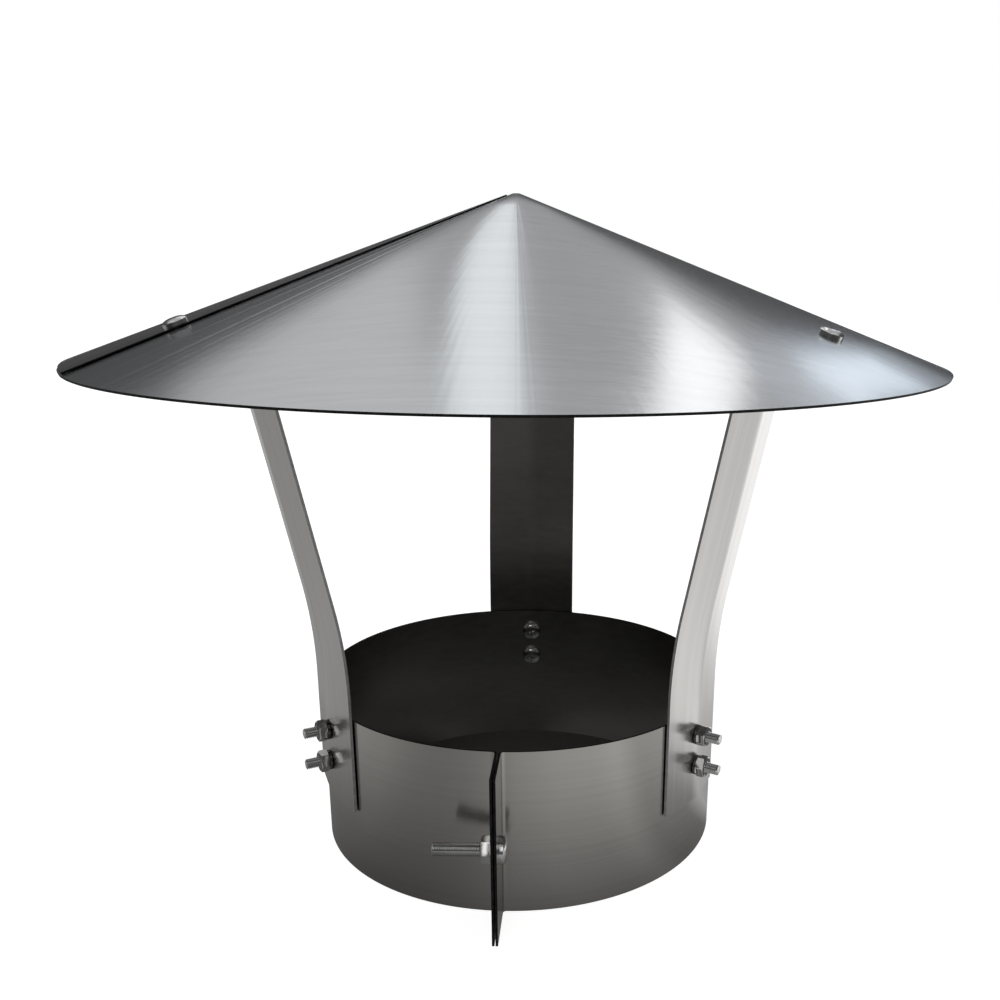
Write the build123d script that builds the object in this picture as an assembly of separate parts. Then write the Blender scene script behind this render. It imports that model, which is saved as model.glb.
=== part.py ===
from build123d import *
from math import asin, atan, cos, degrees, hypot, radians, sin, sqrt, tan
import os

# Chimney rain cap: a lapped sheet cone carried on three creased legs over a clamp band.
# Lengths are in millimetres and angles in degrees. +Z is up.
# The origin is the centre of the band's lower edge, where the cap meets the flue.

# Clamp band, rolled from sheet, with two ears that the clamp screw draws together
flue_diameter = 150.0
band_sheet = 0.8
band_height = 60.0
ear_reach = 20.2
ear_gap = 0.4
ear_bend_radius = 1.2
slit_offset = -2.0
clamp_screw_height = 30.0
clamp_screw_from_band = 10.5

# Canopy, one sheet rolled to a cone and lapped along one line
canopy_diameter = 300.0
canopy_sheet = 0.8
canopy_rim_height = 179.8
canopy_rise = 56.0
canopy_tip_radius = 1.2
lap_rise = 0.8
lap_lift = 0.1
lap_sweep = 85.0
lap_hem = 4.4

# Legs, three strips creased along the middle, leaning out and turned over under the canopy
leg_azimuths = {"left": 210.0, "right": 330.0, "back": 90.0}
leg_width = 38.0
leg_sheet = 1.0
leg_foot_height = 25.0
crease_angle = 8.0
crease_end_angle = 0.4
crease_half_width = 2.8
crease_fade_length = 22.0
lean_start_height = 66.0
lean_bend_radius = 175.0
lean_angle = 11.6
flange_bend_radius = 3.0
canopy_screw_from_bend = 11.6
flange_end_from_screw = 10.9
lower_bolt_height = 38.5
upper_bolt_height = 50.5

# Leg and canopy fasteners: 4 mm pan head screws and their nuts
bolt_diameter = 4.0
bolt_pitch = 0.7
bolt_length = 12.0
bolt_head_diameter = 8.0
bolt_head_height = 2.9
bolt_nut_width = 7.0
bolt_nut_height = 3.2
bolt_hole_diameter = 4.5

# Clamp fastener: 5 mm pan head screw and its nut
clamp_diameter = 5.0
clamp_pitch = 0.8
clamp_length = 22.0
clamp_head_diameter = 9.4
clamp_head_height = 3.2
clamp_nut_width = 8.0
clamp_nut_height = 4.0
clamp_hole_diameter = 5.5

# Details that both screw sizes share, as shares of the screw or angles
thread_depth_share = 0.61
head_side_share = 0.36
recess_span_share = 0.52
recess_width_share = 0.12
recess_depth_share = 0.55
recess_taper = 12.0
nut_face_share = 0.95
nut_bevel_angle = 30.0
bore_chamfer = 0.3

# How each fastener happened to stop turning: its cross recess or its flats
bolt_turns = {"upper": 20.0, "lower": 62.0}
nut_turns = {"upper": 8.0, "lower": 22.0}
canopy_turns = {"left": 30.0, "right": 75.0, "back": 10.0}
clamp_screw_turn = 25.0
clamp_nut_turn = 17.5

# Clearances
seat_clearance = 0.03
leg_clearance = 0.05
thread_clearance = 0.05

# Worked out from the sizes above
band_inner = flue_diameter / 2
band_outer = band_inner + band_sheet
canopy_radius = canopy_diameter / 2
canopy_apex_height = canopy_rim_height + canopy_rise
slope = atan(canopy_rise / canopy_radius)
half_width = leg_width / 2
fold = radians(crease_angle)
lean = radians(lean_angle)
crease_radius = crease_half_width / tan(fold)
leg_ridge = (band_outer + leg_clearance + leg_sheet) / cos(fold)
ridge_face = leg_ridge - (crease_radius + leg_sheet) * (1 / cos(fold) - 1)

# Worked out for the leg: its ridge line from the end of the gentle bend to the flange.
# The flange is flat under a round cone, so its long edges come nearest and its middle hangs lower.
bend_x = leg_ridge + lean_bend_radius * (1 - cos(lean))
bend_z = lean_start_height + lean_bend_radius * sin(lean)
edge_dip = tan(slope) * (hypot(bend_x + half_width, half_width) - bend_x - half_width)
edge_rise = half_width * sin(radians(crease_end_angle))
under_cone = (canopy_apex_height - edge_dip) * cos(slope) - canopy_sheet - leg_clearance - edge_rise
flange_level = under_cone - leg_sheet
hook_level = flange_level - flange_bend_radius
bend_level = bend_x * sin(slope) + bend_z * cos(slope)
hook_lift = flange_bend_radius * (sin(slope) * cos(lean) - cos(slope) * sin(lean))
lean_length = (hook_level - hook_lift - bend_level) / (sin(slope) * sin(lean) + cos(slope) * cos(lean))
straight_length = lean_length - crease_fade_length
fade_x = bend_x + straight_length * sin(lean)
fade_z = bend_z + straight_length * cos(lean)
top_x = bend_x + lean_length * sin(lean)
top_z = bend_z + lean_length * cos(lean)
hook_x = top_x + flange_bend_radius * cos(lean)
hook_z = top_z - flange_bend_radius * sin(lean)
hook_turn = 90 + degrees(slope) - lean_angle
flange_x = hook_x + flange_bend_radius * sin(slope)
flange_z = hook_z + flange_bend_radius * cos(slope)
canopy_screw_radius = flange_x + canopy_screw_from_bend
flange_length = (canopy_screw_from_bend + flange_end_from_screw) / cos(slope)
canopy_nut_foot = flange_level - canopy_apex_height * cos(slope) - seat_clearance - bolt_nut_height

# Worked out for the canopy's lap and the clamp screw's place
lap_tilt = degrees(asin(lap_rise / hypot(canopy_radius, canopy_rise)))
seam_azimuth = leg_azimuths["left"] + degrees(lap_hem / canopy_screw_radius)
clamp_screw_front = band_outer + clamp_screw_from_band
ear_outer_right = slit_offset + ear_gap / 2 + band_sheet
ear_outer_left = slit_offset - ear_gap / 2 - band_sheet


bolt_hole = Cylinder(bolt_hole_diameter / 2, bolt_length)


def at_azimuth(shape, azimuth):
    """Carries a shape modelled on the +X side round to its azimuth."""
    return Rot(0, 0, azimuth) * shape


def canopy_normal_at(radius):
    """The cone's outer face at this radius on the +X side, with Z square to the sheet."""
    height = canopy_apex_height - radius * tan(slope)
    down_slope = (cos(slope), 0, -sin(slope))
    square_out = (sin(slope), 0, cos(slope))
    return Plane(origin=(radius, 0, height), x_dir=down_slope, z_dir=square_out)


def lap_height_at(radius, azimuth):
    """How far the upper sheet of the lap lies above the cone at this place."""
    run = radius / cos(slope)
    return lap_lift + run * sin(radians(lap_tilt)) * cos(radians(azimuth - seam_azimuth))


# Fasteners. Each is modelled with its seat on XY, its head up and its thread down.
def pan_screw(diameter, pitch, length, head_diameter, head_height):
    """A fully threaded pan head screw with a cross recess; its thread is a row of V grooves."""
    crest = diameter / 2
    root = crest - thread_depth_share * pitch
    side = head_diameter / 2
    side_height = head_side_share * head_height
    dome = (side**2 + (head_height - side_height) ** 2) / (2 * (head_height - side_height))
    half_chord = hypot(side, head_height - side_height) / 2
    middle = asin(half_chord / dome)
    grooves = int(length / pitch)
    first = length - grooves * pitch
    points = [(0, -length), (root, -length)]
    for k in range(grooves):
        foot = -length + k * pitch
        points += [(crest, foot + pitch / 2), (root, foot + pitch)]
    points += [(root, min(-first / 2, 0)), (root, 0), (side, 0), (side, side_height)]
    points = [p for k, p in enumerate(points) if k == 0 or p != points[k - 1]]
    outline = Polyline(*points)
    crown = ThreePointArc(
        (side, side_height),
        (dome * sin(middle), head_height - dome * (1 - cos(middle))),
        (0, head_height),
    )
    axis = Line((0, head_height), (0, -length))
    body = revolve(Plane.XZ * make_face([outline, crown, axis]), Axis.Z)
    span = recess_span_share * head_diameter
    width = recess_width_share * head_diameter
    cross = Rectangle(span, width) + Rectangle(width, span)
    depth = recess_depth_share * head_height
    top = Plane.XY.offset(head_height)
    return body - extrude(top * cross, amount=-depth, taper=recess_taper)


def hex_nut(diameter, width, height):
    """A plain hexagon nut with bevelled corners, lying on XY."""
    corner = width / sqrt(3)
    face = nut_face_share * width / 2
    drop = (corner - face) * tan(radians(nut_bevel_angle))
    prism = extrude(RegularPolygon(width / 2, 6, major_radius=False), amount=height)
    outline = Polyline(
        (0, 0), (face, 0), (corner, drop), (corner, height - drop), (face, height), (0, height), (0, 0)
    )
    turned = revolve(Plane.XZ * make_face(outline), Axis.Z)
    bore = diameter / 2 + thread_clearance
    nut = (prism & turned) - Pos(0, 0, height / 2) * Cylinder(bore, height)
    rings = nut.edges().filter_by(GeomType.CIRCLE)
    mouths = [e for e in rings if abs(e.radius - bore) < bore_chamfer / 2]
    return chamfer(mouths, bore_chamfer)


def bolt():
    return pan_screw(bolt_diameter, bolt_pitch, bolt_length, bolt_head_diameter, bolt_head_height)


def bolt_nut():
    return hex_nut(bolt_diameter, bolt_nut_width, bolt_nut_height)


# Clamp band
def upright_edges_at(band, radius):
    """The upright corner edges that stand on a circle of this radius."""
    upright = band.edges().filter_by(Axis.Z)
    return [e for e in upright if abs(hypot(e.center().X, e.center().Y) - radius) < band_sheet / 4]


def clamp_band():
    """The rolled band with its slit, its two ears and the holes for the legs and the clamp screw."""
    tip = -(band_outer + ear_reach)
    root = -(band_inner + band_sheet / 2)
    ear_width = ear_gap + 2 * band_sheet
    ears = Pos(slit_offset, (tip + root) / 2) * Rectangle(ear_width, root - tip)
    slit = Pos(slit_offset, (tip + root) / 2) * Rectangle(ear_gap, 2 * (root - tip))
    strip = Circle(band_outer) + ears - Circle(band_inner) - slit
    band = extrude(strip, amount=band_height)
    band = fillet(upright_edges_at(band, band_outer), ear_bend_radius)
    band = fillet(upright_edges_at(band, band_inner), ear_bend_radius + band_sheet)
    for azimuth in leg_azimuths.values():
        for height in (lower_bolt_height, upper_bolt_height):
            hole = Pos(band_inner, 0, height) * Rot(0, 90, 0) * bolt_hole
            band -= at_azimuth(hole, azimuth)
    ear_hole = Rot(0, 90, 0) * Cylinder(clamp_hole_diameter / 2, clamp_length)
    return band - Pos(slit_offset, -clamp_screw_front, clamp_screw_height) * ear_hole


# Canopy
def cone_below(lift, reach):
    """Everything under a cone that is lifted off the canopy's outer face by this much."""
    top = canopy_apex_height + lift / cos(slope)
    foot = top - reach * tan(slope)
    outline = Polyline((0, top), (reach, foot), (0, foot), (0, top))
    return revolve(Plane.XZ * make_face(outline), Axis.Z)


def canopy_cone():
    """The rolled cone; the lap's upper sheet rises slowly and ends at the seam."""
    inner_apex = canopy_apex_height - canopy_sheet / cos(slope)
    tip_height = canopy_apex_height - canopy_tip_radius * tan(slope)
    outline = Polyline(
        (0, tip_height),
        (canopy_tip_radius, tip_height),
        (canopy_radius, canopy_rim_height),
        (canopy_radius - canopy_sheet * sin(slope), canopy_rim_height - canopy_sheet * cos(slope)),
        (0, inner_apex),
        (0, tip_height),
    )
    sheet = revolve(Plane.XZ * make_face(outline), Axis.Z)
    far = 2 * canopy_radius
    tall = 4 * canopy_apex_height
    sector_angles = [seam_azimuth - lap_sweep * share for share in (1, 0.5, 0)]
    sector = Polyline(
        (0, 0), *[(far * cos(radians(a)), far * sin(radians(a))) for a in sector_angles], (0, 0)
    )
    wedge = extrude(make_face(sector), amount=tall)
    ring = Cylinder(canopy_radius, tall) - Cylinder(2 * canopy_tip_radius, tall)
    hinge = Axis(
        (0, 0, canopy_apex_height),
        (cos(radians(seam_azimuth + 90)), sin(radians(seam_azimuth + 90)), 0),
    )
    raised = cone_below(lap_lift, far).rotate(hinge, -lap_tilt)
    lap = (raised & wedge & ring) - cone_below(0, 2 * far)
    canopy = sheet + lap
    for azimuth in leg_azimuths.values():
        hole = canopy_normal_at(canopy_screw_radius).location * bolt_hole
        canopy -= at_azimuth(hole, azimuth)
    return canopy


# Legs. One is modelled on the +X side and carried round to its three places.
def strip_section(angle):
    """The creased strip cut square across: X along its width, Y outwards, ridge at the origin."""
    c, s = cos(radians(angle)), sin(radians(angle))
    outer = [(-half_width * c, -half_width * s), (0, 0), (half_width * c, -half_width * s)]
    inner = [
        (half_width * c - leg_sheet * s, -half_width * s - leg_sheet * c),
        (0, -leg_sheet / c),
        (-half_width * c + leg_sheet * s, -half_width * s - leg_sheet * c),
    ]
    section = make_face(Polyline(*outer, *inner, outer[0]))
    inner_radius = crease_half_width * c / s
    ridge = section.vertices().filter_by(lambda v: abs(v.X) < leg_sheet / 2).sort_by(Axis.Y)
    section = fillet(ridge[0], inner_radius)
    ridge = section.vertices().filter_by(lambda v: abs(v.X) < leg_sheet / 2).sort_by(Axis.Y)
    return fillet(ridge[-1], inner_radius + leg_sheet)


def strip_plane(x, z, lean):
    """A plane square across the strip where its ridge passes, leaning this much from upright."""
    return Plane(origin=(x, 0, z), x_dir=(0, -1, 0), z_dir=(sin(radians(lean)), 0, cos(radians(lean))))


def leg():
    """Foot, gentle outward bend, leaning stretch, fading crease, tight bend and flange."""
    creased = strip_section(crease_angle)
    flat = strip_section(crease_end_angle)
    foot_length = lean_start_height - leg_foot_height
    foot = extrude(strip_plane(leg_ridge, leg_foot_height, 0) * creased, amount=foot_length)
    knee = revolve(
        strip_plane(leg_ridge, lean_start_height, 0) * creased,
        Axis((leg_ridge + lean_bend_radius, 0, lean_start_height), (0, 1, 0)),
        revolution_arc=lean_angle,
    )
    shin = extrude(strip_plane(bend_x, bend_z, lean_angle) * creased, amount=straight_length)
    fade = loft(
        [strip_plane(fade_x, fade_z, lean_angle) * creased, strip_plane(top_x, top_z, lean_angle) * flat],
        ruled=True,
    )
    hook = revolve(
        strip_plane(top_x, top_z, lean_angle) * flat,
        Axis((hook_x, 0, hook_z), (0, 1, 0)),
        revolution_arc=hook_turn,
    )
    flange = extrude(strip_plane(flange_x, flange_z, 90 + degrees(slope)) * flat, amount=flange_length)
    strip = foot + knee + shin + fade + hook + flange
    for height in (lower_bolt_height, upper_bolt_height):
        strip -= Pos(band_outer, 0, height) * Rot(0, 90, 0) * bolt_hole
    hole = canopy_normal_at(canopy_screw_radius).location * bolt_hole
    return strip - hole


# Building and writing every piece
def write(name, shape):
    solids = shape.solids()
    print(name, len(solids), round(sum(s.volume for s in solids), 3))
    export_step(solids[0] if len(solids) == 1 else Compound(solids), f"parts/{name}.step")


os.makedirs("parts", exist_ok=True)
leg_shape = leg()
bolt_shape = bolt()
nut_shape = bolt_nut()
head_seat = sqrt(band_inner**2 - (bolt_head_diameter / 2) ** 2) - seat_clearance
nut_seat = ridge_face + seat_clearance
canopy_place = canopy_normal_at(canopy_screw_radius).location

write("clamp_band", clamp_band())
write("canopy_cone", canopy_cone())
for side, azimuth in leg_azimuths.items():
    write(f"{side}_leg", at_azimuth(leg_shape, azimuth))
    for place, height in (("upper", upper_bolt_height), ("lower", lower_bolt_height)):
        screw = Pos(head_seat, 0, height) * Rot(0, -90, 0) * Rot(0, 0, bolt_turns[place]) * bolt_shape
        write(f"{side}_leg_{place}_screw", at_azimuth(screw, azimuth))
        nut = Pos(nut_seat, 0, height) * Rot(0, 90, 0) * Rot(0, 0, nut_turns[place]) * nut_shape
        write(f"{side}_leg_{place}_nut", at_azimuth(nut, azimuth))
    on_lap = side == "left"
    seat = seat_clearance + (lap_height_at(canopy_screw_radius, azimuth) if on_lap else 0)
    screw = canopy_place * Pos(0, 0, seat) * Rot(0, 0, canopy_turns[side]) * bolt_shape
    write(f"{side}_canopy_screw", at_azimuth(screw, azimuth))
    nut = canopy_place * Pos(0, 0, canopy_nut_foot) * nut_shape
    write(f"{side}_canopy_nut", at_azimuth(nut, azimuth))

clamp_screw = pan_screw(clamp_diameter, clamp_pitch, clamp_length, clamp_head_diameter, clamp_head_height)
clamp_nut = hex_nut(clamp_diameter, clamp_nut_width, clamp_nut_height)
screw_place = Pos(ear_outer_right + seat_clearance, -clamp_screw_front, clamp_screw_height)
nut_place = Pos(ear_outer_left - seat_clearance, -clamp_screw_front, clamp_screw_height)
write("clamp_screw", screw_place * Rot(0, 90, 0) * Rot(0, 0, clamp_screw_turn) * clamp_screw)
write("clamp_nut", nut_place * Rot(0, -90, 0) * Rot(0, 0, clamp_nut_turn) * clamp_nut)
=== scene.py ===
from math import asin, atan, cos, hypot, pi, radians, sin, sqrt, tan

import bmesh
import bpy
from mathutils import Matrix, Vector


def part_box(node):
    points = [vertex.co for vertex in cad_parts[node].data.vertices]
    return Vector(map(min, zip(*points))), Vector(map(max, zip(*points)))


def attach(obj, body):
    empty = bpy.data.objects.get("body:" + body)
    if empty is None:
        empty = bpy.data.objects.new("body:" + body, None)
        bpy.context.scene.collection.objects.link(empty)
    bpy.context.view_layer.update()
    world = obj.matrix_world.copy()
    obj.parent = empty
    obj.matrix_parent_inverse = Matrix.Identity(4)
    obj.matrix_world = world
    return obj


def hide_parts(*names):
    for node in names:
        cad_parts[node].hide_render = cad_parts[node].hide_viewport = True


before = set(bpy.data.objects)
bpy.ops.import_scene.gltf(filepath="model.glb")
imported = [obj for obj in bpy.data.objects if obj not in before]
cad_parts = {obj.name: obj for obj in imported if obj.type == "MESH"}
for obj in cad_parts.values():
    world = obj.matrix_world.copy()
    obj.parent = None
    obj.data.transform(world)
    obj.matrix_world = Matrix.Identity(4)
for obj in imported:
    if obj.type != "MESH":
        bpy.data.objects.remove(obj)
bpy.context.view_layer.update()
bpy.ops.object.select_all(action="DESELECT")


# Clamp band: one strip of brushed stainless sheet rolled round the flue pipe.
# Both ends are folded out as ears, which the clamp screw draws together.
# Its sheared edges are left rough and painted near black as shade, and holes are punched for the legs' screws
# and the clamp screw.
mm = 0.001


def start_piece(name):
    """Names the primitive just added and opens it in edit mode with all of it selected."""
    piece = bpy.context.object
    piece.name = name
    piece.data.name = name
    bpy.ops.object.transform_apply(location=True, rotation=True, scale=True)
    bpy.ops.object.mode_set(mode="EDIT")
    bpy.ops.mesh.select_all(action="SELECT")
    return piece


def pick(piece, kind, wanted):
    """Selects the vertices, edges or faces whose middle is a wanted place."""
    bpy.ops.mesh.select_mode(type=kind)
    bpy.ops.mesh.select_all(action="DESELECT")
    shape = bmesh.from_edit_mesh(piece.data)
    for part in {"VERT": shape.verts, "EDGE": shape.edges, "FACE": shape.faces}[kind]:
        if kind == "VERT":
            middle = part.co
        elif kind == "EDGE":
            middle = (part.verts[0].co + part.verts[1].co) / 2
        else:
            middle = part.calc_center_median()
        part.select_set(wanted(middle))
    shape.select_flush_mode()
    bmesh.update_edit_mesh(piece.data)


def pull(x, y, z):
    """Extrudes what is selected by this much."""
    bpy.ops.mesh.extrude_region_move(TRANSFORM_OT_translate={"value": (x, y, z)})


def with_modifier(piece, kind, **settings):
    """Gives a piece one finished step, such as a wall or a bevel, and applies it."""
    step = piece.modifiers.new(kind.lower(), kind)
    for setting, value in settings.items():
        setattr(step, setting, value)
    bpy.context.view_layer.objects.active = piece
    bpy.ops.object.modifier_apply(modifier=step.name)


def close_piece(piece, turn_over=False):
    """Leaves edit mode with doubles merged and faces pointing out. An open sheet may need turning over."""
    bpy.ops.mesh.select_all(action="SELECT")
    bpy.ops.mesh.remove_doubles(threshold=0.002 * mm)
    bpy.ops.mesh.normals_make_consistent(inside=turn_over)
    bpy.ops.object.mode_set(mode="OBJECT")
    return piece


def soften(piece, angle=35):
    """Shades a finished piece smooth over every edge that turns by less than this angle."""
    bpy.ops.object.select_all(action="DESELECT")
    piece.select_set(True)
    bpy.context.view_layer.objects.active = piece
    bpy.ops.object.shade_smooth_by_angle(angle=radians(angle))


def thicken(piece, sheet, outside, inside, edge):
    """Gives a rolled or folded shape its wall, inwards from what is drawn, and its three finishes."""
    for finish in (outside, inside, edge):
        piece.data.materials.append(finish)
    with_modifier(
        piece, "SOLIDIFY", thickness=sheet, offset=-1, use_even_offset=True,
        material_offset=1, material_offset_rim=2,
    )


def cut(piece, cutter, how="DIFFERENCE"):
    """Cuts one piece with another, which is used up."""
    with_modifier(piece, "BOOLEAN", object=cutter, operation=how, solver="EXACT", material_mode="TRANSFER")
    bpy.data.objects.remove(cutter)


def punch(diameter, length, place, along):
    """The round tool that leaves a punched hole, its torn wall painted dark as shade."""
    turn = Vector(along).to_track_quat("Z", "Y").to_euler()
    bpy.ops.mesh.primitive_cylinder_add(
        vertices=32, radius=diameter / 2, depth=length, location=place, rotation=turn
    )
    tool = bpy.context.object
    bpy.ops.object.transform_apply(location=True, rotation=True)
    tool.data.materials.append(painted_shade_edge)
    return tool


def adder(tree):
    """A way to add one node to a tree with its settings, values and links."""

    def add(kind, inputs=None, **settings):
        node = tree.nodes.new("ShaderNode" + kind)
        for setting, value in settings.items():
            setattr(node, setting, value)
        for socket, value in (inputs or {}).items():
            if isinstance(value, bpy.types.NodeSocket):
                tree.links.new(value, node.inputs[socket])
            else:
                node.inputs[socket].default_value = value
        return node

    return add


def new_material(name):
    material = bpy.data.materials.new(name)
    material.use_nodes = True
    tree = material.node_tree
    return material, tree, tree.nodes["Principled BSDF"], adder(tree)


def tones(add, value, stops):
    """A colour ramp from stops of place and colour."""
    ramp = add("ValToRGB", {"Fac": value})
    while len(ramp.color_ramp.elements) < len(stops):
        ramp.color_ramp.elements.new(0.5)
    for element, (place, colour) in zip(ramp.color_ramp.elements, stops):
        element.position = place
        element.color = (*colour, 1)
    return ramp.outputs["Color"]


def brushed_sheet(
    name, dark, light, rough, grain, across, turn=0.0, pull_out=0.8, smudge=9.0, painted_reflection=None, waves=None
):
    """Brushed stainless sheet: fine grain lines, soft smudges and faint handling marks.
    Grain is how fast the lines change along X, Y and Z, after a turn about Z. Light spreads
    out along the direction across. A painted reflection darkens the sheet where its mask is 1, and
    waves are the slight unevenness that bending leaves in it."""
    material, tree, shader, add = new_material(name)
    place = add("TexCoord").outputs["Object"]
    turned = add("Mapping", {"Vector": place, "Rotation": (0, 0, turn)}).outputs["Vector"]
    lines_at = add("Mapping", {"Vector": turned, "Scale": grain}).outputs["Vector"]
    fine = {"Scale": 1.0, "Detail": 4.0, "Roughness": 0.6}
    lines = add("TexNoise", {"Vector": lines_at, **fine}).outputs["Fac"]
    broad_at = add("Mapping", {"Vector": turned, "Scale": tuple(g * 0.18 for g in grain)}).outputs["Vector"]
    broad = add("TexNoise", {"Vector": broad_at, "Scale": 1.0, "Detail": 3.0}).outputs["Fac"]
    soft = {"Scale": smudge, "Detail": 4.0, "Distortion": 0.6}
    smudges = add("TexNoise", {"Vector": place, **soft}).outputs["Fac"]
    grained = add("Math", {0: lines, 1: broad}, operation="ADD").outputs[0]
    tone = add("Math", {0: grained, 1: smudges}, operation="ADD").outputs[0]
    third = add("Math", {0: tone, 1: 1 / 3}, operation="MULTIPLY").outputs[0]
    colour = tones(add, third, [(0.36, dark), (0.64, light)])
    if painted_reflection is not None:
        mask, reflected_tone = painted_reflection(add, place)
        colour = add("MixRGB", {"Fac": mask, "Color1": colour, "Color2": (*reflected_tone, 1)}).outputs["Color"]
    tree.links.new(colour, shader.inputs["Base Color"])
    worn = add("Math", {0: lines, 1: smudges}, operation="ADD").outputs[0]
    span = {"From Min": 0.8, "From Max": 1.2, "To Min": 0.9 * rough, "To Max": 1.15 * rough}
    tree.links.new(add("MapRange", {"Value": worn, **span}).outputs["Result"], shader.inputs["Roughness"])
    bump = add("Bump", {"Height": lines, "Strength": 0.15, "Distance": 0.03 * mm})
    if waves is not None:
        tree.links.new(waves(add, place), bump.inputs["Normal"])
    tree.links.new(bump.outputs["Normal"], shader.inputs["Normal"])
    tree.links.new(add("CombineXYZ", dict(zip("XYZ", across))).outputs["Vector"], shader.inputs["Tangent"])
    shader.inputs["Metallic"].default_value = 1.0
    shader.inputs["Anisotropic"].default_value = pull_out
    return material


def torn_edge(name, dark, light, metallic):
    """The sheared edge of a sheet: dull and torn along its length. Its dark and light tones are painted:
    painted shade on dark edges, painted highlight on light ones.
    """
    material, tree, shader, add = new_material(name)
    place = add("TexCoord").outputs["Object"]
    tears = add("TexNoise", {"Vector": place, "Scale": 420.0, "Detail": 4.0, "Roughness": 0.7}).outputs["Fac"]
    colour = tones(add, tears, [(0.42, dark), (0.75, light)])
    tree.links.new(colour, shader.inputs["Base Color"])
    bump = add("Bump", {"Height": tears, "Strength": 0.5, "Distance": 0.2 * mm})
    tree.links.new(bump.outputs["Normal"], shader.inputs["Normal"])
    shader.inputs["Metallic"].default_value = metallic
    shader.inputs["Specular IOR Level"].default_value = 0.25
    shader.inputs["Roughness"].default_value = 0.65
    return material


# painted shade: the cut edges of band, canopy and lap and the walls of the punched holes are painted near
# black
painted_shade_edge = torn_edge("painted_shade_edge", (0.006, 0.006, 0.006), (0.045, 0.043, 0.041), 0.0)
# inner sides of the sheets: a duller unbrushed mill finish, with a darker tone that is painted shade for the
# shade under the canopy and inside the band
mill_side_painted_shade = brushed_sheet(
    "mill_side_painted_shade", (0.33, 0.32, 0.305), (0.42, 0.41, 0.395), 0.32, (150, 150, 500), (0, 0, 1),
    pull_out=0.0, smudge=22.0,
)
band_steel = brushed_sheet(
    "brushed_band", (0.5, 0.482, 0.455), (0.57, 0.552, 0.525), 0.2, (7, 7, 1900), (0, 0, 1),
    pull_out=0.6, smudge=14.0,
)
band_low, band_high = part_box("clamp_band")
band_outer = band_high.y
band_height = band_high.z
band_sheet = 0.8 * mm
ear_tip = band_low.y
ear_bend = 1.2 * mm
slit_middle = -2.0 * mm
ear_gap = 0.4 * mm
ear_faces = (slit_middle + ear_gap / 2 + band_sheet, slit_middle - ear_gap / 2 - band_sheet)
roots = [-sqrt(band_outer**2 - x**2) for x in ear_faces]
roll_steps = 240
roll_angle = 2 * pi - asin(abs(ear_faces[1]) / band_outer) + asin(abs(ear_faces[0]) / band_outer)
leg_azimuths = {"left": radians(210), "right": radians(330), "back": radians(90)}
bolt_heights = {"lower": 38.5 * mm, "upper": 50.5 * mm}
bolt_hole = 4.5 * mm
clamp_hole = 5.5 * mm
punch_length = 12 * mm
clamp_axis = Vector((0, -86.3 * mm, 30 * mm))

bpy.ops.mesh.primitive_plane_add(
    size=band_height, location=(0, ear_tip, band_height / 2), rotation=(0, pi / 2, 0)
)
band = start_piece("rolled_band")
pick(band, "VERT", lambda at: at.y > ear_tip)
bpy.ops.mesh.delete(type="VERT")
bpy.ops.mesh.select_all(action="SELECT")
bpy.ops.transform.translate(value=(ear_faces[0], band_height / 2, 0))
pull(0, roots[0] - ear_tip, 0)
bpy.ops.mesh.spin(steps=roll_steps, angle=roll_angle, center=(0, 0, 0), axis=(0, 0, -1))
pull(0, ear_tip - roots[1], 0)
near = 0.1 * mm
pick(band, "EDGE", lambda at: any(hypot(at.x - x, at.y - y) < near for x, y in zip(ear_faces, roots)))
bpy.ops.mesh.bevel(offset=ear_bend, segments=6, profile=0.5, affect="EDGES")
close_piece(band)
thicken(band, band_sheet, band_steel, mill_side_painted_shade, painted_shade_edge)
for azimuth in leg_azimuths.values():
    for height in bolt_heights.values():
        outwards = Vector((cos(azimuth), sin(azimuth), 0))
        cut(band, punch(bolt_hole, punch_length, band_outer * outwards + Vector((0, 0, height)), outwards))
cut(band, punch(clamp_hole, punch_length, clamp_axis + Vector((slit_middle, 0, 0)), (1, 0, 0)))
soften(band)
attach(band, "cap")
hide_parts("clamp_band")


# Legs: three strips of the same sheet, creased along the middle to stiffen them.
# Each lies on the band with its ridge outwards, leans out to the canopy and
# is turned over under it, where a screw holds its flat end.
leg_width = 38 * mm
leg_sheet = 1.0 * mm
leg_foot = 25 * mm
lean_start = 66 * mm
lean_radius = 175 * mm
lean = radians(11.6)
crease = radians(8)
crease_end = radians(0.4)
crease_round = 2.8 * mm
fade_length = 22 * mm
fade_steps = 4
hook_radius = 3 * mm
canopy_rim = 179.8 * mm
canopy_rise = 56 * mm
canopy_radius = 150 * mm
canopy_sheet = 0.8 * mm
screw_from_bend = 11.6 * mm
end_from_screw = 10.9 * mm
slope = atan(canopy_rise / canopy_radius)
flange_length = (screw_from_bend + end_from_screw) / cos(slope)
half_width = leg_width / 2
ridge = (band_outer + 0.05 * mm + leg_sheet) / cos(crease)
bend_x = ridge + lean_radius * (1 - cos(lean))
bend_z = lean_start + lean_radius * sin(lean)
up_lean = Vector((sin(lean), 0, cos(lean)))
out_lean = Vector((cos(lean), 0, -sin(lean)))
edge_dip = tan(slope) * (hypot(bend_x + half_width, half_width) - bend_x - half_width)
under_cone = (canopy_rim + canopy_rise - edge_dip) * cos(slope) - canopy_sheet - 0.05 * mm
hook_level = under_cone - half_width * sin(crease_end) - leg_sheet - hook_radius
hook_lift = hook_radius * (sin(slope) * cos(lean) - cos(slope) * sin(lean))
bend_level = bend_x * sin(slope) + bend_z * cos(slope)
lean_length = (hook_level - hook_lift - bend_level) / (sin(slope) * sin(lean) + cos(slope) * cos(lean))
top = Vector((bend_x, 0, bend_z)) + lean_length * up_lean
hook = top + hook_radius * out_lean
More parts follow.
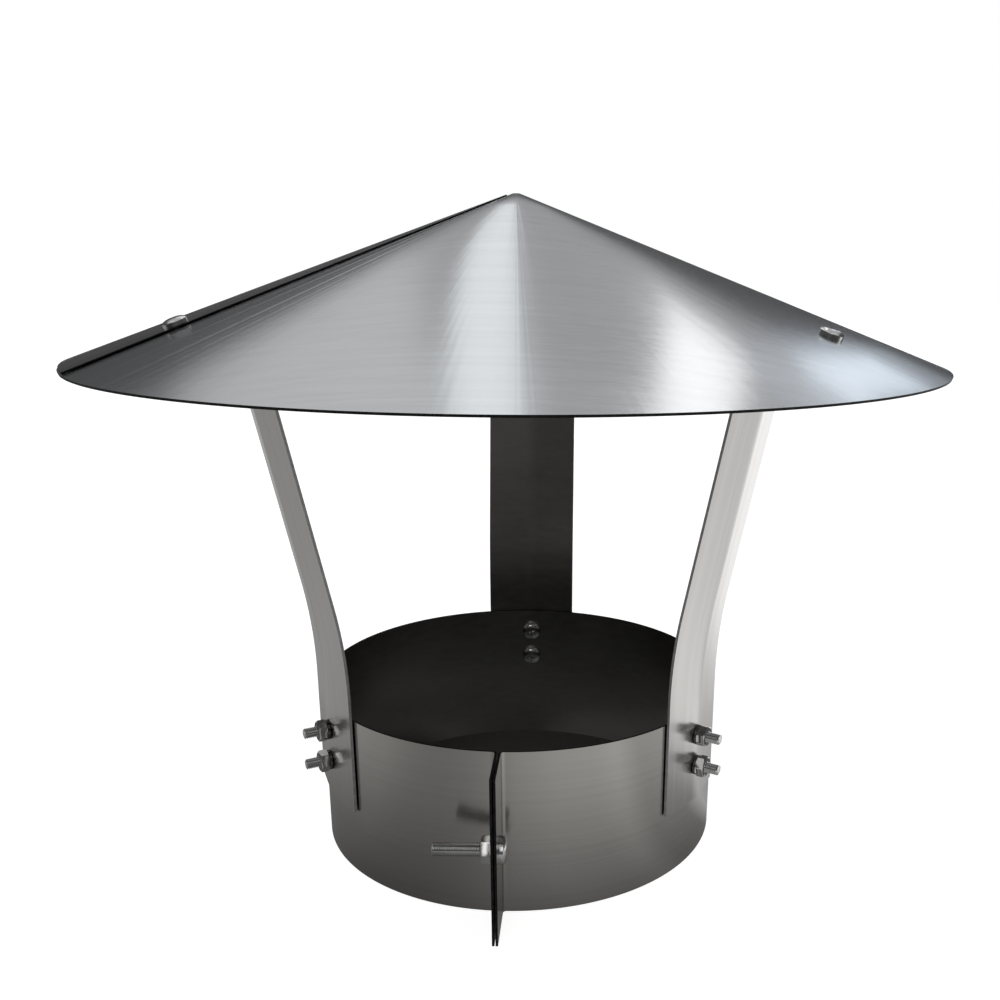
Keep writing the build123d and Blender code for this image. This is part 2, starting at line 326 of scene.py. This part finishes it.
canopy_screw_radius = hook.x + hook_radius * sin(slope) + screw_from_bend
screw_on_cone = Vector((canopy_screw_radius, 0, canopy_rim + canopy_rise - canopy_screw_radius * tan(slope)))
cone_normal = Vector((sin(slope), 0, cos(slope)))
crease_depth = half_width * sin(crease)
flat_depth = half_width * sin(crease_end)

bpy.ops.mesh.primitive_plane_add(size=1, rotation=(0, pi / 2, 0))
leg = start_piece("creased_leg")
bpy.ops.transform.resize(value=(1, leg_width * cos(crease), lean_start - leg_foot))
bpy.ops.transform.translate(value=(ridge - crease_depth, 0, (lean_start + leg_foot) / 2))
bpy.ops.mesh.bisect(plane_co=(0, 0, 0), plane_no=(0, 1, 0))
pick(leg, "VERT", lambda at: abs(at.y) < 0.01 * mm)
bpy.ops.transform.translate(value=(crease_depth, 0, 0))
pick(leg, "EDGE", lambda at: at.z > lean_start - 0.01 * mm)
bpy.ops.mesh.spin(steps=24, angle=lean, center=(ridge + lean_radius, 0, lean_start), axis=(0, -1, 0))
pull(*((lean_length - fade_length) * up_lean))
for step in range(fade_steps):
    pull(*(fade_length / fade_steps * up_lean))
    still_to_go = fade_length * (1 - (step + 1) / fade_steps)
    pick(leg, "VERT", lambda at: abs(at.y) > 1 * mm and (at - top).dot(up_lean) > -still_to_go - 0.5 * mm)
    bpy.ops.transform.translate(value=(crease_depth - flat_depth) / fade_steps * out_lean)
    pick(leg, "EDGE", lambda at: (at - top).dot(up_lean) > -still_to_go - 0.5 * mm)
bpy.ops.mesh.spin(steps=16, angle=pi / 2 + slope - lean, center=hook, axis=(0, -1, 0))
pull(flange_length * cos(slope), 0, -flange_length * sin(slope))
pick(leg, "EDGE", lambda at: abs(at.y) < 0.01 * mm)
bpy.ops.mesh.bevel(offset=crease_round, segments=4, affect="EDGES")
close_piece(leg, turn_over=True)
# painted highlight: the legs' cut edges are painted brighter than the legs' own steel, for the light they
# catch
leg_edge_painted_highlight = torn_edge("leg_edge_painted_highlight", (0.7, 0.69, 0.68), (0.9, 0.89, 0.88), 1.0)
thicken(leg, leg_sheet, band_steel, mill_side_painted_shade, leg_edge_painted_highlight)
for height in bolt_heights.values():
    cut(leg, punch(bolt_hole, punch_length, (ridge, 0, height), (1, 0, 0)))
cut(leg, punch(bolt_hole, punch_length, screw_on_cone - 3 * mm * cone_normal, cone_normal))
soften(leg)


def copy_of(model, name, place):
    """A copy of a piece modelled on the +X side or on XY, put where the matrix says with its own mesh."""
    bpy.ops.object.select_all(action="DESELECT")
    model.select_set(True)
    bpy.context.view_layer.objects.active = model
    bpy.ops.object.duplicate()
    piece = bpy.context.object
    piece.name = name
    piece.data.name = name
    piece.matrix_world = place
    bpy.ops.object.transform_apply(location=True, rotation=True)
    return piece


for side, azimuth in leg_azimuths.items():
    strip = copy_of(leg, f"creased_{side}_leg", Matrix.Rotation(azimuth, 4, "Z"))
    strip.data.materials[0] = brushed_sheet(
        f"brushed_{side}_leg", (0.52, 0.505, 0.49), (0.62, 0.605, 0.59), 0.22, (20, 1500, 7),
        (-sin(azimuth), cos(azimuth), 0), turn=-azimuth, pull_out=0.6,
    )
    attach(strip, "cap")
    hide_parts(f"{side}_leg")
bpy.data.objects.remove(leg)


# Leg screws and nuts: 4 mm pan head screws of bright stainless steel with a cross recess.
# They go outwards through the band and the leg's ridge, two to a leg, heads inside the bore,
# and a hexagon nut on a split spring washer draws each one up. All are cold formed and polished.
def bright_metal(name, dark, light, rough, speed):
    """Barrel polished stainless steel with fine marks from the tools and darker patches at random."""
    material, tree, shader, add = new_material(name)
    place = add("TexCoord").outputs["Object"]
    marks = add("TexNoise", {"Vector": place, "Scale": speed, "Detail": 5.0, "Roughness": 0.7}).outputs["Fac"]
    patches = add("TexNoise", {"Vector": place, "Scale": speed / 7, "Detail": 3.0}).outputs["Fac"]
    mixed = add("Math", {0: marks, 1: patches}, operation="ADD").outputs[0]
    half = add("Math", {0: mixed, 1: 0.5}, operation="MULTIPLY").outputs[0]
    tree.links.new(tones(add, half, [(0.35, dark), (0.62, light)]), shader.inputs["Base Color"])
    span = {"From Min": 0.35, "From Max": 0.65, "To Min": rough - 0.05, "To Max": rough + 0.08}
    tree.links.new(add("MapRange", {"Value": half, **span}).outputs["Result"], shader.inputs["Roughness"])
    bump = add("Bump", {"Height": marks, "Strength": 0.2, "Distance": 0.04 * mm})
    tree.links.new(bump.outputs["Normal"], shader.inputs["Normal"])
    shader.inputs["Metallic"].default_value = 1.0
    return material


def pan_head_screw(name, diameter, pitch, length, head_diameter, head_height, material):
    """A fully threaded screw with its seat on XY: helical thread below, crowned head above."""
    thread_depth = 0.61 * pitch
    flank_depth = 0.4 * thread_depth
    root = diameter / 2 - thread_depth
    bpy.ops.mesh.primitive_plane_add(size=pitch, location=(root - pitch / 2, 0, 0), rotation=(pi / 2, 0, 0))
    screw = start_piece(name)
    pick(screw, "VERT", lambda at: at.x < root - pitch / 2)
    bpy.ops.mesh.delete(type="VERT")
    bpy.ops.mesh.select_all(action="SELECT")
    bpy.ops.mesh.subdivide(number_cuts=3)
    pick(screw, "VERT", lambda at: abs(at.z) < 3 * pitch / 8)
    bpy.ops.transform.translate(value=(flank_depth, 0, 0))
    pick(screw, "VERT", lambda at: abs(at.z) < pitch / 8)
    bpy.ops.transform.translate(value=(thread_depth - flank_depth, 0, 0))
    bpy.ops.mesh.select_all(action="SELECT")
    bpy.ops.transform.translate(value=(0, 0, -length - pitch))
    bpy.ops.object.mode_set(mode="OBJECT")
    turns = int(length / pitch) + 2
    with_modifier(
        screw, "SCREW", screw_offset=pitch, iterations=turns, steps=24, render_steps=24,
        use_merge_vertices=True, merge_threshold=0.001 * mm,
    )
    bpy.ops.object.mode_set(mode="EDIT")
    for height, side in ((-length, {"clear_inner": True}), (0.2 * head_height, {"clear_outer": True})):
        bpy.ops.mesh.select_all(action="SELECT")
        bpy.ops.mesh.bisect(plane_co=(0, 0, height), plane_no=(0, 0, 1), use_fill=True, **side)
    pick(screw, "VERT", lambda at: at.z < 0.01 * mm - length)
    point = 0.86
    bpy.ops.transform.resize(value=(point, point, 1))
    close_piece(screw)
    head_radius = head_diameter / 2
    side_height = 0.55 * head_height
    crown = head_height - side_height
    bpy.ops.mesh.primitive_cylinder_add(
        vertices=48, radius=head_radius, depth=side_height, location=(0, 0, side_height / 2)
    )
    head = start_piece(name + "_head")
    pick(head, "FACE", lambda at: at.z > side_height - 0.01 * mm)
    rings = (1, 0.985, 0.95, 0.89, 0.8, 0.68, 0.52, 0.34, 0.16)
    for wide, narrow in zip(rings, rings[1:]):
        bpy.ops.mesh.inset(thickness=head_radius * (wide - narrow), depth=crown * (wide**4 - narrow**4))
    close_piece(head)
    recess = (0.56 * head_diameter, 0.15 * head_diameter, 1.1 * head_height)
    recess_taper = 0.6
    for turn in (0, pi / 2):
        bpy.ops.mesh.primitive_cube_add(size=1, location=(0, 0, head_height))
        slot = start_piece("recess")
        bpy.ops.transform.resize(value=recess)
        pick(slot, "VERT", lambda at: at.z < head_height)
        bpy.ops.transform.resize(value=(recess_taper, recess_taper, 1))
        close_piece(slot)
        slot.rotation_euler.z = turn
        bpy.ops.object.transform_apply(rotation=True)
        cut(head, slot)
    cut(screw, head, "UNION")
    soften(screw)
    screw.data.materials.clear()
    screw.data.materials.append(material)
    return screw


def hexagon_nut(name, diameter, width, height, material):
    """A plain hexagon nut lying on XY, with bevelled corners and a chamfered bore."""
    corner = width / sqrt(3)
    face = 0.95 * width / 2
    drop = (corner - face) * tan(radians(30))
    bore = diameter / 2 + 0.05 * mm
    mouth = 0.3 * mm
    middle = height / 2
    bpy.ops.mesh.primitive_cylinder_add(
        vertices=6, radius=corner, depth=height, location=(0, 0, middle), rotation=(0, 0, pi / 6)
    )
    nut = close_piece(start_piece(name))
    bpy.ops.mesh.primitive_cylinder_add(
        vertices=72, radius=corner + 0.001 * mm, depth=height - 2 * drop, location=(0, 0, middle)
    )
    blank = start_piece("turned_blank")
    for end in (1, -1):
        pick(blank, "FACE", lambda at: end * (at.z - middle) > middle - drop - 0.01 * mm)
        bpy.ops.mesh.inset(thickness=corner - face, depth=drop)
    close_piece(blank)
    cut(nut, blank, "INTERSECT")
    bpy.ops.mesh.primitive_cylinder_add(
        vertices=48, radius=bore, depth=height - 2 * mouth, location=(0, 0, middle)
    )
    reamer = start_piece("bore")
    for end in (1, -1):
        pick(reamer, "FACE", lambda at: end * (at.z - middle) > middle - mouth - 0.01 * mm)
        pull(0, 0, 2 * end * mouth)
        bpy.ops.transform.resize(value=(1 + 2 * mouth / bore, 1 + 2 * mouth / bore, 1))
    close_piece(reamer)
    cut(nut, reamer)
    with_modifier(nut, "BEVEL", width=0.07 * mm, segments=2, limit_method="ANGLE", angle_limit=radians(25))
    soften(nut, 28)
    nut.data.materials.clear()
    nut.data.materials.append(material)
    return nut


def spring_washer(name, inside, outside, thickness, material):
    """A split ring lying on XY. Its slit is cut at a slant, so that its ends bite into nut and sheet."""
    middle = thickness / 2
    slant = radians(25)
    bpy.ops.mesh.primitive_cylinder_add(
        vertices=64, radius=outside / 2, depth=thickness, location=(0, 0, middle)
    )
    ring = close_piece(start_piece(name))
    bpy.ops.mesh.primitive_cylinder_add(
        vertices=48, radius=inside / 2, depth=2 * thickness, location=(0, 0, middle)
    )
    cut(ring, close_piece(start_piece("washer_bore")))
    bpy.ops.mesh.primitive_cube_add(size=1, location=(outside / 2, 0, middle), rotation=(slant, 0, 0))
    slit = start_piece("slit")
    bpy.ops.transform.resize(value=(outside, 0.5 * mm, 3 * thickness))
    cut(ring, close_piece(slit))
    with_modifier(ring, "BEVEL", width=0.08 * mm, segments=2, limit_method="ANGLE", angle_limit=radians(40))
    soften(ring, 30)
    ring.data.materials.clear()
    ring.data.materials.append(material)
    return ring


def put_fastener(model, name, place, node, body):
    """A copy of a screw or nut in its place, standing for one node."""
    piece = copy_of(model, name, place)
    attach(piece, body)
    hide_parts(node)


def turned(angle, axis):
    return Matrix.Rotation(radians(angle), 4, axis)


bolt_head = 8 * mm
bolt_nut_height = 3.2 * mm
seat = 0.03 * mm
bright_screw = bright_metal("bright_screw", (0.62, 0.62, 0.62), (0.82, 0.82, 0.81), 0.15, 900.0)
bright_nut = bright_metal("bright_nut", (0.62, 0.61, 0.6), (0.84, 0.83, 0.82), 0.16, 700.0)
bolt = pan_head_screw(
    "bolt", diameter=4 * mm, pitch=0.7 * mm, length=11.4 * mm,
    head_diameter=bolt_head, head_height=2.2 * mm, material=bright_screw,
)
bolt_nut = hexagon_nut("bolt_nut", diameter=4 * mm, width=7 * mm, height=bolt_nut_height, material=bright_nut)
head_seat = sqrt((band_outer - band_sheet) ** 2 - (bolt_head / 2) ** 2) - seat
nut_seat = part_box("back_leg_upper_nut")[0].y
washer_sheet = 0.8 * mm
dark_washer = bright_metal("dark_washer", (0.1, 0.1, 0.1), (0.28, 0.275, 0.27), 0.28, 800.0)
washer = spring_washer(
    "spring_washer", inside=4.2 * mm, outside=7.2 * mm, thickness=washer_sheet, material=dark_washer
)
bolt_turns = {"upper": 20, "lower": 62}
nut_turns = {"upper": 8, "lower": 22}
washer_turns = {"left": 140, "right": 35, "back": 80}
for side, azimuth in leg_azimuths.items():
    round_to = Matrix.Rotation(azimuth, 4, "Z")
    for row, height in bolt_heights.items():
        in_band = round_to @ Matrix.Translation((head_seat, 0, height)) @ turned(-90, "Y")
        inner = in_band @ turned(bolt_turns[row], "Z")
        on_leg = round_to @ Matrix.Translation((nut_seat, 0, height)) @ turned(90, "Y")
        outer = on_leg @ Matrix.Translation((0, 0, washer_sheet)) @ turned(nut_turns[row], "Z")
        node = f"{side}_leg_{row}"
        put_fastener(bolt, f"{side}_{row}_leg_bolt", inner, f"{node}_screw", "cap")
        put_fastener(bolt_nut, f"{side}_{row}_leg_bolt_nut", outer, f"{node}_nut", "cap")
        split = turned(washer_turns[side] + nut_turns[row], "Z")
        ring = copy_of(washer, f"{side}_{row}_leg_washer", on_leg @ split)
        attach(ring, "cap")
bpy.data.objects.remove(washer)


# Canopy: one disc of brushed stainless sheet, cut to the centre and rolled to a shallow cone.
# The cut's upper edge laps over the lower one beside the left leg's screw and stands up a little.
# Here the lap is a thin second sheet that sinks into the cone where the real one goes on.
canopy_apex = canopy_rim + canopy_rise
tip_radius = 1.2 * mm
lap_lift = 0.05 * mm
lap_rise = 0.35 * mm
lap_sweep = radians(85)
lap_sheet = 0.35 * mm
lap_sink = 0.6 * mm
sink_sweep = radians(30)
sink_steps = 30
lap_tilt = asin(lap_rise / hypot(canopy_radius, canopy_rise))
seam_azimuth = leg_azimuths["left"] + 4.4 * mm / canopy_screw_radius
seam_way = Vector((cos(seam_azimuth), sin(seam_azimuth)))
square_to_seam = Vector((-sin(seam_azimuth), cos(seam_azimuth), 0))


def cone_line(name, azimuth, inner, outer, lift=0.0):
    """One straight line down the cone from near its tip to its rim, at this azimuth."""
    bpy.ops.mesh.primitive_plane_add(size=1)
    piece = start_piece(name)
    pick(piece, "VERT", lambda at: at.y > 0)
    bpy.ops.mesh.delete(type="VERT")
    bpy.ops.mesh.select_all(action="SELECT")
    bpy.ops.transform.translate(value=(0.5 + inner, 0.5, canopy_apex + lift - inner * tan(slope)))
    pick(piece, "VERT", lambda at: at.x > 0.9)
    bpy.ops.transform.translate(value=(outer - inner - 1, 0, (inner - outer) * tan(slope)))
    bpy.ops.mesh.select_all(action="SELECT")
    bpy.ops.mesh.subdivide(number_cuts=11)
    bpy.ops.object.mode_set(mode="OBJECT")
    piece.rotation_euler.z = azimuth
    bpy.ops.object.transform_apply(rotation=True)
    bpy.ops.object.mode_set(mode="EDIT")
    bpy.ops.mesh.select_all(action="SELECT")
    return piece


def painted_seam_reflection(add, place):
    """Painted reflection: the sheet is painted darker and brownish beside the cut edge of the lap, for what it
    reflects there.
    """
    away = add("VectorMath", {0: place, 1: tuple(square_to_seam)}, operation="DOT_PRODUCT").outputs["Value"]
    patchy = add("TexNoise", {"Vector": place, "Scale": 45.0, "Detail": 4.0}).outputs["Fac"]
    uneven = add("Math", {0: patchy, 1: 0.008}, operation="MULTIPLY").outputs[0]
    shifted = add("Math", {0: away, 1: uneven}, operation="ADD").outputs[0]
    fade = {"From Min": -0.010, "From Max": 0.001, "To Min": 0.0, "To Max": 0.7}
    # the darker brownish tone of the painted reflection
    return add("MapRange", {"Value": shifted, **fade}).outputs["Result"], (0.33, 0.295, 0.265)


def rolling_marks(add, place):
    """Bending the cone step by step left ridges from the tip to the rim, plainest near the seam."""
    flat = add("VectorMath", {0: place, 1: (1, 1, 0)}, operation="MULTIPLY").outputs["Vector"]
    round_tip = add("VectorMath", {0: flat}, operation="NORMALIZE").outputs["Vector"]
    coarse = {"Scale": 22.0, "Detail": 3.0, "Roughness": 0.6}
    ridges = add("TexNoise", {"Vector": round_tip, **coarse}).outputs["Fac"]
    down_seam = (cos(seam_azimuth), sin(seam_azimuth), 0)
    to_seam = add("VectorMath", {0: round_tip, 1: down_seam}, operation="DOT_PRODUCT").outputs["Value"]
    span = {"From Min": 0.93, "From Max": 0.998, "To Min": 0.06, "To Max": 0.6}
    plain = add("MapRange", {"Value": to_seam, **span}).outputs["Result"]
    return add("Bump", {"Height": ridges, "Strength": plain, "Distance": 0.5 * mm}).outputs["Normal"]


canopy_finish = ((0.57, 0.58, 0.59), (0.64, 0.655, 0.665), 0.17, (5, 1700, 1700), (0, 1, 0))
canopy_steel = brushed_sheet("brushed_canopy", *canopy_finish, pull_out=0.3, waves=rolling_marks)
canopy = cone_line("rolled_canopy", 0, tip_radius, canopy_radius)
bpy.ops.mesh.spin(steps=360, angle=2 * pi, center=(0, 0, 0), axis=(0, 0, 1))
bpy.ops.mesh.select_all(action="SELECT")
bpy.ops.mesh.remove_doubles(threshold=0.002 * mm)
pick(canopy, "EDGE", lambda at: hypot(at.x, at.y) < 1.001 * tip_radius)
bpy.ops.mesh.edge_face_add()
close_piece(canopy)
thicken(canopy, canopy_sheet, canopy_steel, mill_side_painted_shade, painted_shade_edge)
for azimuth in leg_azimuths.values():
    round_to = Matrix.Rotation(azimuth, 3, "Z")
    cut(canopy, punch(bolt_hole, punch_length, round_to @ screw_on_cone, round_to @ cone_normal))
soften(canopy, 25)
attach(canopy, "cap")
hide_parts("canopy_cone")

# the lap carries the painted reflection beside its cut edge
lap_steel = brushed_sheet("brushed_lap", *canopy_finish, pull_out=0.3, painted_reflection=painted_seam_reflection, waves=rolling_marks)
lap_start = 3 * tip_radius
lap_end = canopy_radius - 0.6 * mm
lap = cone_line("lapped_edge", seam_azimuth, lap_start, lap_end, lap_lift / cos(slope))
bpy.ops.mesh.spin(steps=85, angle=lap_sweep, center=(0, 0, 0), axis=(0, 0, 1))
close_piece(lap)
at_apex = Matrix.Translation((0, 0, canopy_apex))
lap.matrix_world = at_apex @ Matrix.Rotation(-lap_tilt, 4, square_to_seam) @ at_apex.inverted()
bpy.ops.object.transform_apply(location=True, rotation=True)
lap.data.materials.append(lap_steel)
lap.data.materials.append(painted_shade_edge)
with_modifier(lap, "SOLIDIFY", thickness=lap_sheet, offset=1, use_even_offset=True, material_offset_rim=1)
bpy.ops.object.mode_set(mode="EDIT")
for step in range(sink_steps):
    sinks_from = lap_sweep - sink_sweep * (1 - step / sink_steps)
    pick(lap, "VERT", lambda at: at.xy.angle(seam_way) > sinks_from)
    bpy.ops.transform.translate(value=(0, 0, -lap_sink / sink_steps))
bpy.ops.object.mode_set(mode="OBJECT")
soften(lap, 25)
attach(lap, "cap")


# Canopy screws and nuts: the same 4 mm fasteners hold the turned-over ends of the legs.
# Their heads lie on the cone, the left one on the lap, and their nuts are under the flanges.
canopy_turns = {"left": 30, "right": 75, "back": 10}
lap_run = canopy_screw_radius / cos(slope)
lap_here = lap_lift + lap_sheet + lap_run * sin(lap_tilt) * cos(leg_azimuths["left"] - seam_azimuth)
square_out = Matrix.Translation(screw_on_cone) @ Matrix.Rotation(slope, 4, "Y")
nut_foot = hook_level + hook_radius - canopy_apex * cos(slope) - seat - bolt_nut_height
for side, azimuth in leg_azimuths.items():
    on_cone = Matrix.Rotation(azimuth, 4, "Z") @ square_out
    lift = seat + (lap_here if side == "left" else 0)
    over = on_cone @ Matrix.Translation((0, 0, lift)) @ turned(canopy_turns[side], "Z")
    under = on_cone @ Matrix.Translation((0, 0, nut_foot))
    put_fastener(bolt, f"{side}_canopy_bolt", over, f"{side}_canopy_screw", "cap")
    put_fastener(bolt_nut, f"{side}_canopy_bolt_nut", under, f"{side}_canopy_nut", "cap")
bpy.data.objects.remove(bolt)
bpy.data.objects.remove(bolt_nut)


# Clamp screw and nut: a 5 mm pan head screw goes through both ears and draws them together.
# It is stainless steel like the others, and 16 mm of its thread stands out of the nut.
clamp_screw = pan_head_screw(
    "clamp_bolt", diameter=5 * mm, pitch=0.8 * mm, length=22 * mm,
    head_diameter=9.4 * mm, head_height=2.8 * mm, material=bright_screw,
)
clamp_nut = hexagon_nut("clamp_bolt_nut", diameter=5 * mm, width=8 * mm, height=4 * mm, material=bright_nut)
right_ear = Matrix.Translation(clamp_axis + Vector((ear_faces[0] + seat, 0, 0)))
left_ear = Matrix.Translation(clamp_axis + Vector((ear_faces[1] - seat, 0, 0)))
head_place = right_ear @ turned(90, "Y") @ turned(25, "Z")
nut_place = left_ear @ turned(-90, "Y") @ turned(30, "Z")
put_fastener(clamp_screw, "clamping_bolt", head_place, "clamp_screw", "clamp_screw_body")
put_fastener(clamp_nut, "clamping_nut", nut_place, "clamp_nut", "clamp_nut_body")
bpy.data.objects.remove(clamp_screw)
bpy.data.objects.remove(clamp_nut)


# Studio: the cap stands on a pale floor in a dim room, as for a catalogue picture.
# Soft lamps high round it are what its brushed steel shows above, the brightest behind it and to its right.
# Below, the steel shows the floor as a painted reflection, a glow with painted light and painted shadow.
# The floor and the air behind it are white to the camera, and the floor keeps the soft shadow; inside the band
# it is painted dark as shade.
band_middle = 75.4 * mm
bright_way = (0.5, 0.866, 0)
bpy.ops.mesh.primitive_plane_add(size=12)
floor = bpy.context.object
floor.name = "studio_floor"
material, tree, shader, add = new_material("pale_floor")
shader.inputs["Roughness"].default_value = 0.9
shader.inputs["Specular IOR Level"].default_value = 0.0
rays = add("LightPath").outputs
on_floor = add("TexCoord").outputs["Object"]
way_out = add("VectorMath", {0: on_floor}, operation="NORMALIZE").outputs["Vector"]
towards_light = add("VectorMath", {0: way_out, 1: bright_way}, operation="DOT_PRODUCT").outputs["Value"]
whole = add("MapRange", {"Value": towards_light, "From Min": -1.0, "From Max": 1.0}).outputs["Result"]
# painted reflection of an unevenly lit floor: the greys the metal shows, from the side away from the bright
# way to the side towards it
painted_floor_greys = [
    (0.0, 0.17), (0.07, 0.24), (0.16, 0.27), (0.3, 0.27), (0.4, 0.31), (0.5, 0.24), (0.67, 0.26),
    (0.76, 0.6), (0.88, 0.38), (0.94, 0.35), (0.98, 0.74),
]
painted_floor_sweep = tones(add, whole, [(at, (v, v, v)) for at, v in painted_floor_greys])
far_off = add("VectorMath", {0: on_floor}, operation="LENGTH").outputs["Value"]
spot = add("SeparateXYZ", {0: on_floor}).outputs


def change_over(value, near, far, low, high):
    """A factor that goes from low at near to high at far."""
    span = {"From Min": near, "From Max": far, "To Min": low, "To Max": high}
    return add("MapRange", {"Value": value, **span}).outputs["Result"]


def both(kind, first, second):
    return add("Math", {0: first, 1: second}, operation=kind).outputs[0]


# painted shadow close to the band, and painted shade far to the front and on the left, in the floor's
# reflection
painted_band_shadow = change_over(far_off, 0.076, 0.19, 0.6, 1.9)
painted_left_shade = change_over(spot["X"], -0.1, 0.1, 0.76, 1.08)
painted_front_shade = change_over(spot["Y"], -0.45, -0.24, 0.12, 1.0)
outside = both("GREATER_THAN", far_off, band_middle)
# painted shade: inside the band the floor is dark grey, and not white to the camera, for the shade under the
# cap
ground_with_painted_shade = {"Color1": (0.22, 0.21, 0.2, 1), "Color2": (0.8, 0.8, 0.8, 1)}
tree.links.new(add("MixRGB", {"Fac": outside, **ground_with_painted_shade}).outputs["Color"], shader.inputs["Base Color"])
painted_floor_light = painted_band_shadow
for factor in (painted_front_shade, painted_left_shade, outside):
    painted_floor_light = both("MULTIPLY", painted_floor_light, factor)
# the floor glows with this painted light in glossy and transmission rays only
painted_floor_glow = add("Emission", {"Color": painted_floor_sweep, "Strength": both("MAXIMUM", painted_floor_light, 0.1)})
seen_white = both("MULTIPLY", both("MULTIPLY", rays["Is Camera Ray"], 0.88), outside)
white = add("Emission", {"Strength": seen_white})
direct = add("AddShader", {0: shader.outputs[0], 1: white.outputs[0]})
in_metal = both("MAXIMUM", rays["Is Glossy Ray"], rays["Is Transmission Ray"])
lit = add("MixShader", {"Fac": in_metal, 1: direct.outputs[0], 2: painted_floor_glow.outputs[0]})
tree.links.new(lit.outputs[0], tree.nodes["Material Output"].inputs["Surface"])
floor.data.materials.append(material)

world = bpy.data.worlds.new("studio_room")
bpy.context.scene.world = world
world.use_nodes = True
world.node_tree.nodes.clear()
add = adder(world.node_tree)
way = add("TexCoord").outputs["Generated"]
upwards = add("VectorMath", {0: way, 1: (0, 0.35, 0.94)}, operation="DOT_PRODUCT").outputs["Value"]
front, dim, dusky, soft, pale = [(v, v, 1.02 * v) for v in (0.08, 0.06, 0.1, 0.42, 0.5)]
room = tones(add, upwards, [(0.0, front), (0.3, dim), (0.66, dusky), (0.76, soft), (1.0, pale)])
rays = add("LightPath").outputs
clear = add("Math", {0: rays["Is Camera Ray"], 1: rays["Is Transmission Ray"]}, operation="MAXIMUM").outputs[0]
shown = add("MixRGB", {"Fac": clear, "Color1": room, "Color2": (1, 1, 1, 1)})
back = add("Background", {"Color": shown.outputs["Color"], "Strength": 1.0})
world.node_tree.links.new(back.outputs[0], add("OutputWorld").inputs["Surface"])


def softbox(name, sideways, up, width, height, brightness, tint=(1, 1, 1)):
    """A flat soft lamp 4 m from the cap, turned to it. Its place is its share of the way along X and
    how many degrees it is up from behind, so over 90 is in front. Width and height are shares of
    the distance, and brightness is what the metal shows of its face."""
    away = 4
    aim = Vector((0, 0, 0.2))
    back = sqrt(1 - sideways**2)
    place = aim + away * Vector((sideways, back * cos(radians(up)), back * sin(radians(up))))
    lamp = bpy.data.lights.new(name, "AREA")
    lamp.shape = "RECTANGLE"
    lamp.size = width * away
    lamp.size_y = height * away
    lamp.energy = brightness * pi * lamp.size * lamp.size_y
    lamp.color = tint
    holder = bpy.data.objects.new(name, lamp)
    bpy.context.scene.collection.objects.link(holder)
    holder.location = place
    holder.rotation_euler = (aim - place).to_track_quat("-Z", "Y").to_euler()


daylight = (0.85, 0.94, 1.05)
softbox("left_screen", -0.31, 49.5, 0.27, 0.68, 0.24)
softbox("middle_softbox", -0.09, 52, 0.115, 0.62, 0.72, tint=(0.95, 0.99, 1.0))
softbox("right_softbox", 0.187, 52, 0.1, 0.62, 1.2)
softbox("window", 0.395, 24.5, 0.085, 0.25, 0.9, tint=daylight)
softbox("window_glow", 0.385, 24, 0.13, 0.5, 0.31, tint=daylight)
softbox("front_fill", -0.15, 145, 0.28, 0.62, 1.1)
softbox("front_softbox", 0.13, 129, 0.14, 0.6, 0.7)
softbox("front_left_softbox", -0.42, 117, 0.14, 0.55, 0.5)
softbox("front_right_softbox", 0.42, 117, 0.14, 0.55, 0.5)
softbox("left_side_softbox", -0.63, 90, 0.16, 0.5, 0.5)
softbox("right_side_softbox", 0.63, 90, 0.16, 0.5, 0.5)


# Camera of the photograph: close, a little above the band and to the right of the middle.
# Its height, distance and lens were fitted to the outlines of the band, rim, cone, legs and screws.
camera_data = bpy.data.cameras.new("camera")
camera = bpy.data.objects.new("camera", camera_data)
bpy.context.scene.collection.objects.link(camera)
bpy.context.scene.camera = camera
sight = Vector((28.88 * mm, 0, 85.72 * mm))
distance = 418.58 * mm
tilt = radians(17.77)
roll = radians(0.8)
camera.location = sight + distance * Vector((0, -cos(tilt), sin(tilt)))
camera.rotation_euler = (Matrix.Rotation(pi / 2 - tilt, 4, "X") @ Matrix.Rotation(roll, 4, "Z")).to_euler()
camera_data.sensor_width = 36
camera_data.lens = 1.08205 * camera_data.sensor_width
camera_data.shift_x = -0.0943
camera_data.shift_y = 0.108
camera_data.clip_start = 0.01

bpy.context.scene.view_settings.view_transform = "Standard"
